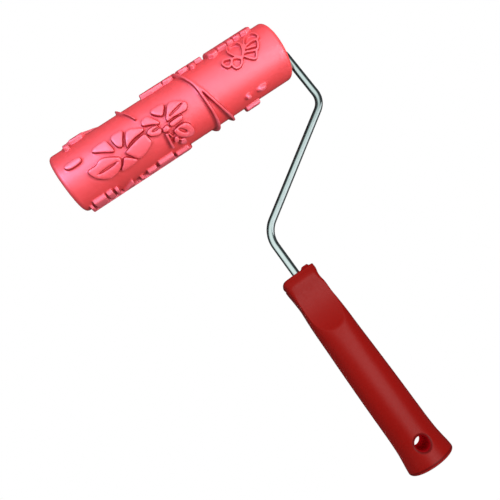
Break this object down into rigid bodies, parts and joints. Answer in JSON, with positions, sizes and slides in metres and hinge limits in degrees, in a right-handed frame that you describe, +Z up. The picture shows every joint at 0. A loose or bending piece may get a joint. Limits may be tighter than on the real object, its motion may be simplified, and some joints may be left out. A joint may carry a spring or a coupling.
{
  "type": "textured pattern roller",
  "caption": "Embossed rubber wall roller that spins on a cranked steel rod, with a moulded plastic handle and a hanging hole.",
  "frame": {"origin": "centre of the hanging hole in the butt of the handle, where the tool is held", "axes": "+X parallel to the turning axis, towards the side where the rod leaves; +Z up the handle to the sleeve; the hanging hole runs along Y and the rod is bent in the plane Y = 0"},
  "size_m": [0.1829, 0.05, 0.3062],
  "materials": {
    "relief_rubber": "soft satin, coral red",
    "core_plastic": "plain extruded tube",
    "cap_plastic": "moulded, natural white",
    "bush_nylon": "natural nylon",
    "washer_steel": "zinc plated",
    "spring_steel": "oiled spring steel",
    "rod_chrome": "bright plated",
    "handle_plastic": "dark red, semi-matt moulded"
  },
  "bodies": {
    "handle_frame": {"handle_grip": "handle_plastic", "wire_frame": "rod_chrome", "arm_end_washer": "washer_steel", "free_end_washer": "washer_steel", "push_nut": "spring_steel"},
    "roller": {"pattern_sleeve": "relief_rubber", "core_tube": "core_plastic", "arm_end_cap": "cap_plastic", "free_end_cap": "cap_plastic", "arm_end_bush": "bush_nylon", "free_end_bush": "bush_nylon", "hub_cap": "cap_plastic"}
  },
  "joints": [
    {"name": "roller_spin", "type": "hinge", "parent": "handle_frame", "child": "roller", "pos_m": [-0.005, 0, 0.2668], "axis": [1, 0, 0], "continuous": true}
  ]
}
